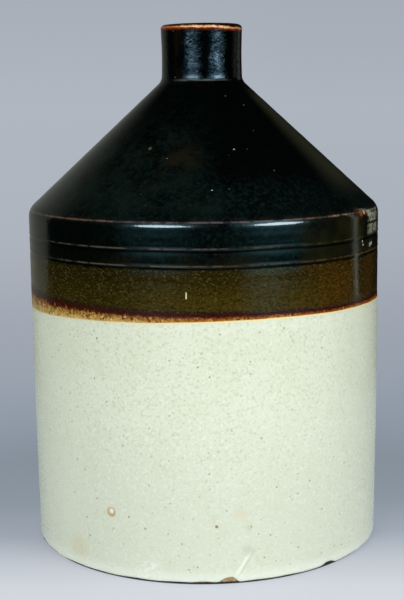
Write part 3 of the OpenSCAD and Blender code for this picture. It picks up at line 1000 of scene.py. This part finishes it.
def mirrored_room(p):
    """What the gloss sees, painted on the paper as glow: a dim room, the light round the lamps, two upright
    gleams and the backdrop.
    """
    turn = p.times(p.math("ARCTAN2", p.x, p.times(p.y, -1)), 180 / math.pi)
    lift = p.times(p.math("ARCTAN2", p.add(p.z, -0.16), p.out), 180 / math.pi)
    # behind the jug on its left, the backdrop is lighter than the room
    behind = p.times(p.fit(turn, -116, -119), p.fit(p.z, 2.1, 0.25))
    room = p.mix(behind, srgb(14, 16, 17), srgb(123, 125, 117))
    # wide light round each lamp, a brighter middle in it, and the two gleams
    left = glimmer(p, turn, lift, LEFT_LAMP - 2, 15, 14, -15, 26, 30, 16)
    right = glimmer(p, turn, lift, RIGHT_LAMP - 4, 16, 13, -15, 26, 30, 16)
    room = p.mix(left, room, (0.26, 0.6, 0.68, 1), "ADD")
    room = p.mix(right, room, (0.38, 0.95, 1.05, 1), "ADD")
    near = p.add(glimmer(p, turn, lift, LEFT_LAMP, 17, 14, 9, 9, 32, 14),
                 glimmer(p, turn, lift, RIGHT_LAMP - 2, 17, 14, 9, 8, 32, 14))
    room = p.mix(near, room, (0.9, 1.6, 1.9, 1), "ADD")
    gleam = p.add(glimmer(p, turn, lift, 111.5, 1.7, 0.5, -40, 10, 17, 3),
                  glimmer(p, turn, lift, 134, 2.2, 1, -3, 3, 20, 4))
    return p.mix(gleam, room, (0.9, 0.92, 0.76, 1), "ADD")


def paper_tone(p):
    """Pale paper: a painted pool of light in front of the jug, painted shadow beside and behind it, and a
    little more painted shade behind on its right.
    """
    back = p.fit(p.y, -0.64, 0.86, smooth=False)
    # the dip just behind the jug is its painted shadow
    near = p.ramp(back, (0.0, 160, 167, 178), (0.2, 190, 196, 205), (0.333, 212, 216, 222),
                  (0.367, 207, 211, 218), (0.39, 188, 194, 203), (0.413, 161, 169, 181),
                  (0.447, 146, 156, 168), (0.5, 141, 151, 163), (0.567, 145, 155, 168),
                  (0.667, 155, 163, 175), (1.0, 167, 173, 183))
    rise = p.fit(p.add(p.out, p.z), 0.6, 3.4, smooth=False)
    far = p.ramp(rise, (0.0, 164, 170, 181), (0.2, 171, 178, 188), (0.48, 176, 183, 193),
                 (0.6, 168, 175, 185), (1.0, 162, 169, 179))
    tone = p.mix(p.fit(p.out, 0.5, 1.2), near, far)
    shade = p.times(p.fit(p.x, -0.06, 0.22), p.fit(p.y, 0.1, 0.3))
    return p.mix(shade, tone, (0.96, 0.965, 0.97, 1), "MULTIPLY")


def paper(name, glow_share):
    """Paper that the lamps light. Part of what the camera and the gloss see of it is its own tone."""
    p = Paint(name)
    tone = paper_tone(p)
    path = p.node("LightPath").outputs
    mirrored = p.math("MAXIMUM", path["Is Glossy Ray"], path["Is Transmission Ray"])
    seen = p.math("MAXIMUM", path["Is Camera Ray"], mirrored)
    own = p.coat(tone, mirrored_room(p), mirrored, p.fit(p.out, FLOOR_R, 0.45))
    # near the jug the paper takes part of its light from the lamps
    lit_to, plain_from = 0.15, 0.29
    glow = p.node("Emission", {"Color": own, "Strength": p.fit(p.out, lit_to, plain_from, 1.16, 1.0)})
    blend = p.node("MixShader", {0: p.times(seen, p.fit(p.out, lit_to, plain_from, glow_share, 1.0))})
    p.link(p.node("BsdfDiffuse", {"Color": tone}), blend.inputs[1])
    p.link(glow, blend.inputs[2])
    return p.link(blend)


sheet = paper("backdrop_paper", 0.6)
sweep("floor", [(0.0001, 0), (0.1, 0), (FLOOR_R, 0)], sheet)
turns = np.radians(np.linspace(0, 90, 16))
curve = [(COVE_START + COVE_ROUND * math.sin(a), COVE_ROUND - COVE_ROUND * math.cos(a)) for a in turns]
cove = sweep("backdrop", [(FLOOR_R, 0), *curve, (COVE_START + COVE_ROUND, COVE_TOP)], sheet)
cove.visible_diffuse = False
cove.visible_shadow = False


# Light: two soft lamps in front, three fills and a dim room

LAMP_AWAY = 1.1
AIM = Vector((0, 0, 0.13))


def softbox(name, azimuth, elevation, size, watts, in_gloss=True):
    """A lamp that faces the jug: azimuth from the front towards +X, elevation above level, in degrees."""
    a, e = math.radians(azimuth), math.radians(elevation)
    way = Vector((math.sin(a) * math.cos(e), -math.cos(a) * math.cos(e), math.sin(e)))
    data = bpy.data.lights.new(name, "AREA")
    data.shape = "ELLIPSE"
    data.size, data.size_y = size
    data.energy = watts
    lamp = bpy.data.objects.new(name, data)
    turned = (-way).to_track_quat("-Z", "Y").to_matrix().to_4x4()
    lamp.matrix_world = Matrix.Translation(AIM + way * LAMP_AWAY) @ turned
    lamp.visible_glossy = in_gloss
    bpy.context.scene.collection.objects.link(lamp)


def dim_room():
    """The world: a faint grey, lighter below."""
    world = bpy.data.worlds.new("studio")
    bpy.context.scene.world = world
    p = Paint("studio", world)
    lift = p.times(p.math("ARCSINE", p.z), 180 / math.pi)
    tone = p.mix(p.fit(lift, -20, 60), srgb(52, 56, 58), srgb(16, 18, 20))
    p.link(p.node("Background", {"Color": tone}))


softbox("left_softbox", LEFT_LAMP, 23, (0.6, 0.3), 6.95)
softbox("right_softbox", RIGHT_LAMP, 23, (0.6, 0.3), 7.35)
softbox("left_fill", -85, 30, (0.8, 0.8), 2.1, in_gloss=False)
softbox("right_fill", 96, 30, (0.8, 0.8), 0.75, in_gloss=False)
softbox("back_fill", 178, 40, (0.9, 0.9), 3.2, in_gloss=False)
dim_room()


# Camera: fitted to the photograph's outline, in degrees, metres and pixels of the photograph

LOOKS_DOWN = 9.46
LOOKS_LEFT = 0.11
ROLL = -0.66
CAMERA_PLACE = (0, -0.638, 0.2265)
FOCAL_PX = 1243.25
PHOTO_H_PX = 600
SENSOR_MM = 36


def photo_camera():
    """A camera that sees the jug as the photograph does."""
    data = bpy.data.cameras.new("camera")
    data.sensor_width = SENSOR_MM
    data.lens = FOCAL_PX / PHOTO_H_PX * SENSOR_MM
    turned = Matrix.Rotation(math.radians(LOOKS_LEFT), 4, "Z")
    turned = turned @ Matrix.Rotation(math.radians(90 - LOOKS_DOWN), 4, "X")
    turned = turned @ Matrix.Rotation(math.radians(ROLL), 4, "Z")
    camera = bpy.data.objects.new("camera", data)
    camera.matrix_world = Matrix.Translation(CAMERA_PLACE) @ turned
    bpy.context.scene.collection.objects.link(camera)
    bpy.context.scene.camera = camera


photo_camera()
bpy.context.scene.view_settings.view_transform = "Standard"
